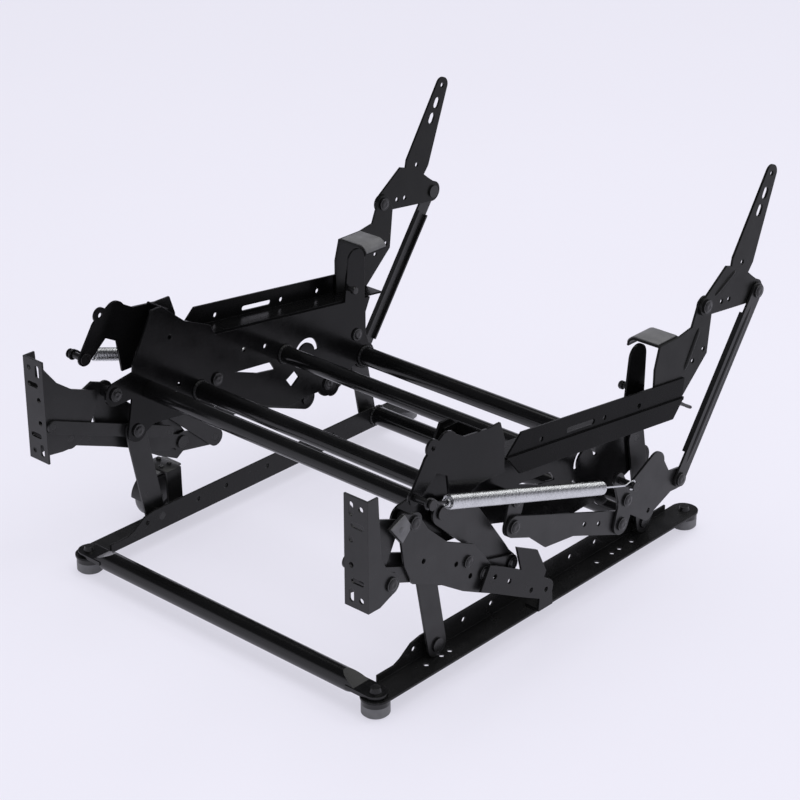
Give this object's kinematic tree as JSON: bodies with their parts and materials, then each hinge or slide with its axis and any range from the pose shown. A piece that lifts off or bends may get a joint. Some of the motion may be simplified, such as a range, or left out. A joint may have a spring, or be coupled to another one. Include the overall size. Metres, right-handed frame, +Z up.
{
  "type": "recliner mechanism",
  "caption": "Recliner chair mechanism with a floor frame, a gliding seat frame, folding footrest links, reclining back arms and return springs.",
  "frame": {"origin": "on the floor, below the middle of the overall box", "axes": "+X to the right seen from the front, +Y from the footrest to the back, +Z up"},
  "size_m": [0.5856, 0.7414, 0.463],
  "materials": {
    "black_steel": "satin",
    "pin_steel": "satin",
    "spring_wire": "zinc",
    "foot_plastic": "matte"
  },
  "bodies": {
    "base": {"base_rail_left": "black_steel", "base_rail_right": "black_steel", "foot_pads": "foot_plastic", "base_front_tube": "black_steel", "base_rear_tube": "black_steel", "foot_bolts": "pin_steel", "lift_base_pins": "pin_steel"},
    "front_lift_left": {"front_lift_left": "black_steel"},
    "rear_lift_left": {"rear_lift_left": "black_steel"},
    "front_lift_right": {"front_lift_right": "black_steel"},
    "rear_lift_right": {"rear_lift_right": "black_steel"},
    "seat": {"seat_plate_left": "black_steel", "seat_plate_right": "black_steel", "seat_rail_left": "black_steel", "seat_rail_right": "black_steel", "front_plate_left": "black_steel", "front_plate_right": "black_steel", "hinge_plate_left": "black_steel", "hinge_plate_right": "black_steel", "front_cross_tube": "black_steel", "middle_cross_tube": "black_steel", "rear_cross_tube": "black_steel", "lift_top_pins": "pin_steel", "link_pivot_pins": "pin_steel", "back_hinge_pins": "pin_steel", "spring_posts": "pin_steel", "return_spring_left": "spring_wire", "return_spring_right": "spring_wire"},
    "footrest_drive": {"torque_tube": "black_steel", "drive_link_left": "black_steel", "drive_link_right": "black_steel", "drive_link_pins": "pin_steel"},
    "swing_left": {"swing_link_left": "black_steel", "swing_pins_left": "pin_steel"},
    "footrest_arm_left": {"footrest_arm_left": "black_steel"},
    "footrest_left": {"footrest_bracket_left": "black_steel", "bracket_pins_left": "pin_steel"},
    "tilt_left": {"tilt_link_left": "black_steel"},
    "back_left": {"back_arm_left": "black_steel", "strut_pins_left": "pin_steel"},
    "strut_left": {"strut_left": "black_steel"},
    "crank_left": {"rear_crank_left": "black_steel", "crank_pins_left": "pin_steel"},
    "push_left": {"push_link_left": "black_steel"},
    "rocker_left": {"rocker_left": "black_steel", "rocker_pins_left": "pin_steel"},
    "swing_right": {"swing_link_right": "black_steel", "swing_pins_right": "pin_steel"},
    "footrest_arm_right": {"footrest_arm_right": "black_steel"},
    "footrest_right": {"footrest_bracket_right": "black_steel", "bracket_pins_right": "pin_steel"},
    "tilt_right": {"tilt_link_right": "black_steel"},
    "back_right": {"back_arm_right": "black_steel", "strut_pins_right": "pin_steel"},
    "strut_right": {"strut_right": "black_steel"},
    "crank_right": {"rear_crank_right": "black_steel", "crank_pins_right": "pin_steel"},
    "push_right": {"push_link_right": "black_steel"},
    "rocker_right": {"rocker_right": "black_steel", "rocker_pins_right": "pin_steel"}
  },
  "joints": [
    {"name": "front_lift_left", "type": "hinge", "parent": "base", "child": "front_lift_left", "pos_m": [-0.2335, -0.21573, 0.038], "axis": [1, 0, 0], "range_deg": [0, 10]},
    {"name": "rear_lift_left", "type": "hinge", "parent": "base", "child": "rear_lift_left", "pos_m": [-0.2335, 0.17427, 0.038], "axis": [1, 0, 0], "range_deg": [0, 10]},
    {"name": "front_lift_right", "type": "hinge", "parent": "base", "child": "front_lift_right", "pos_m": [0.2335, -0.21573, 0.038], "axis": [1, 0, 0], "range_deg": [0, 10]},
    {"name": "rear_lift_right", "type": "hinge", "parent": "base", "child": "rear_lift_right", "pos_m": [0.2335, 0.17427, 0.038], "axis": [1, 0, 0], "range_deg": [0, 10]},
    {"name": "seat_glide", "type": "hinge", "parent": "front_lift_left", "child": "seat", "pos_m": [-0.2335, -0.24071, 0.16303], "axis": [1, 0, 0], "range_deg": [-10, 0]},
    {"name": "back_recline", "type": "hinge", "parent": "seat", "child": "back_left", "pos_m": [-0.264, 0.23727, 0.316], "axis": [1, 0, 0], "range_deg": [-32, 0], "deforming": ["return_spring_left", "return_spring_right"]},
    {"name": "back_right", "type": "hinge", "parent": "seat", "child": "back_right", "pos_m": [0.264, 0.23727, 0.316], "axis": [1, 0, 0], "range_deg": [-32, 0]},
    {"name": "strut_left", "type": "hinge", "parent": "back_left", "child": "strut_left", "pos_m": [-0.268, 0.3416, 0.30504], "axis": [1, 0, 0], "range_deg": [0, 32]},
    {"name": "crank_left", "type": "hinge", "parent": "seat", "child": "crank_left", "pos_m": [-0.264, 0.09259, 0.11102], "axis": [1, 0, 0], "range_deg": [-32, 0]},
    {"name": "push_left", "type": "hinge", "parent": "crank_left", "child": "push_left", "pos_m": [-0.26, 0.08359, 0.08202], "axis": [1, 0, 0], "range_deg": [0, 32]},
    {"name": "rocker_left", "type": "hinge", "parent": "seat", "child": "rocker_left", "pos_m": [-0.256, -0.10673, 0.186], "axis": [1, 0, 0], "range_deg": [-32, 0]},
    {"name": "strut_right", "type": "hinge", "parent": "back_right", "child": "strut_right", "pos_m": [0.268, 0.3416, 0.30504], "axis": [1, 0, 0], "range_deg": [0, 32]},
    {"name": "crank_right", "type": "hinge", "parent": "seat", "child": "crank_right", "pos_m": [0.264, 0.09259, 0.11102], "axis": [1, 0, 0], "range_deg": [-32, 0]},
    {"name": "push_right", "type": "hinge", "parent": "crank_right", "child": "push_right", "pos_m": [0.26, 0.08359, 0.08202], "axis": [1, 0, 0], "range_deg": [0, 32]},
    {"name": "rocker_right", "type": "hinge", "parent": "seat", "child": "rocker_right", "pos_m": [0.256, -0.10673, 0.186], "axis": [1, 0, 0], "range_deg": [-32, 0]},
    {"name": "footrest_extend", "type": "hinge", "parent": "seat", "child": "footrest_drive", "pos_m": [0, -0.21873, 0.21], "axis": [1, 0, 0], "range_deg": [-105, 0]},
    {"name": "swing_left", "type": "hinge", "parent": "seat", "child": "swing_left", "pos_m": [-0.2495, -0.27273, 0.222], "axis": [1, 0, 0], "range_deg": [-105, 0]},
    {"name": "footrest_arm_left", "type": "hinge", "parent": "footrest_drive", "child": "footrest_arm_left", "pos_m": [-0.2455, -0.10172, 0.09897], "axis": [1, 0, 0], "range_deg": [0, 105]},
    {"name": "footrest_left", "type": "hinge", "parent": "footrest_arm_left", "child": "footrest_left", "pos_m": [-0.2455, -0.33473, 0.182], "axis": [1, 0, 0], "range_deg": [-105, 0]},
    {"name": "tilt_left", "type": "hinge", "parent": "swing_left", "child": "tilt_left", "pos_m": [-0.2375, -0.18329, 0.13713], "axis": [1, 0, 0], "range_deg": [0, 105]},
    {"name": "swing_right", "type": "hinge", "parent": "seat", "child": "swing_right", "pos_m": [0.2495, -0.27273, 0.222], "axis": [1, 0, 0], "range_deg": [-105, 0]},
    {"name": "footrest_arm_right", "type": "hinge", "parent": "footrest_drive", "child": "footrest_arm_right", "pos_m": [0.2455, -0.10172, 0.09897], "axis": [1, 0, 0], "range_deg": [0, 105]},
    {"name": "footrest_right", "type": "hinge", "parent": "footrest_arm_right", "child": "footrest_right", "pos_m": [0.2455, -0.33473, 0.182], "axis": [1, 0, 0], "range_deg": [-105, 0]},
    {"name": "tilt_right", "type": "hinge", "parent": "swing_right", "child": "tilt_right", "pos_m": [0.2375, -0.18329, 0.13713], "axis": [1, 0, 0], "range_deg": [0, 105]}
  ],
  "couplings": [
    {"joint": "front_lift_left", "follows": "back_recline", "ratio": -0.3125},
    {"joint": "rear_lift_left", "follows": "back_recline", "ratio": -0.3125},
    {"joint": "front_lift_right", "follows": "back_recline", "ratio": -0.3125},
    {"joint": "rear_lift_right", "follows": "back_recline", "ratio": -0.3125},
    {"joint": "seat_glide", "follows": "back_recline", "ratio": 0.3125},
    {"joint": "back_right", "follows": "back_recline", "ratio": 1},
    {"joint": "strut_left", "follows": "back_recline", "ratio": -1},
    {"joint": "crank_left", "follows": "back_recline", "ratio": 1},
    {"joint": "push_left", "follows": "back_recline", "ratio": -1},
    {"joint": "rocker_left", "follows": "back_recline", "ratio": 1},
    {"joint": "strut_right", "follows": "back_recline", "ratio": -1},
    {"joint": "crank_right", "follows": "back_recline", "ratio": 1},
    {"joint": "push_right", "follows": "back_recline", "ratio": -1},
    {"joint": "rocker_right", "follows": "back_recline", "ratio": 1},
    {"joint": "swing_left", "follows": "footrest_extend", "ratio": 1},
    {"joint": "footrest_arm_left", "follows": "footrest_extend", "ratio": -1},
    {"joint": "footrest_left", "follows": "footrest_extend", "ratio": 1},
    {"joint": "tilt_left", "follows": "footrest_extend", "ratio": -1},
    {"joint": "swing_right", "follows": "footrest_extend", "ratio": 1},
    {"joint": "footrest_arm_right", "follows": "footrest_extend", "ratio": -1},
    {"joint": "footrest_right", "follows": "footrest_extend", "ratio": 1},
    {"joint": "tilt_right", "follows": "footrest_extend", "ratio": -1}
  ]
}
